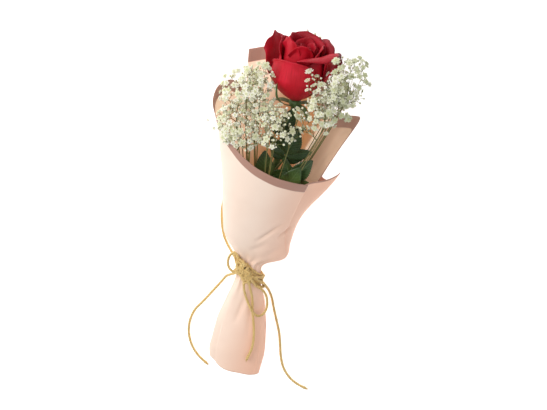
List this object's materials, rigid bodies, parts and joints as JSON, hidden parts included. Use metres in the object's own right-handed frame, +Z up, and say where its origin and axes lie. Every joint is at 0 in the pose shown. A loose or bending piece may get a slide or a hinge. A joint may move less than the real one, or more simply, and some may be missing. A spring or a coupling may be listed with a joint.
{
  "type": "wrapped single rose bouquet",
  "caption": "Cut red rose with baby's breath, wrapped in bordered florist's paper with a flared skirt and tied with golden twine, lying on its back.",
  "frame": {"origin": "middle of the flat strip of paper that the bouquet's back rests on", "axes": "+Y along the bouquet towards the bloom, +X to its right, +Z up, out of its front"},
  "size_m": [0.1292, 0.3357, 0.0777],
  "materials": {
    "florist_paper": "matte pale peach paper, warm tan inside, with a dusty mauve border",
    "rose_petals": "velvety deep red petals",
    "rose_greenery": "matte dark green stem, sepals and toothed leaves",
    "spray_florets": "matte cream florets on thin green twigs",
    "twine": "twisted golden straw-coloured twine"
  },
  "bodies": {
    "root": {"wrap_outer_sheet": "florist_paper", "wrap_inner_sheet": "florist_paper", "rose_bloom": "rose_petals", "rose_stem": "rose_greenery", "spray_left_back": "spray_florets", "spray_left_front": "spray_florets", "spray_left_top": "spray_florets", "spray_middle": "spray_florets", "spray_right_front": "spray_florets", "spray_right_top": "spray_florets", "spray_right_back": "spray_florets", "twine_binding": "twine", "twine_knot": "twine", "twine_tail_left": "twine", "twine_tail_right": "twine", "twine_tail_middle": "twine", "twine_tail_upper": "twine", "twine_loop_long": "twine", "twine_loop_short": "twine"}
  },
  "joints": []
}
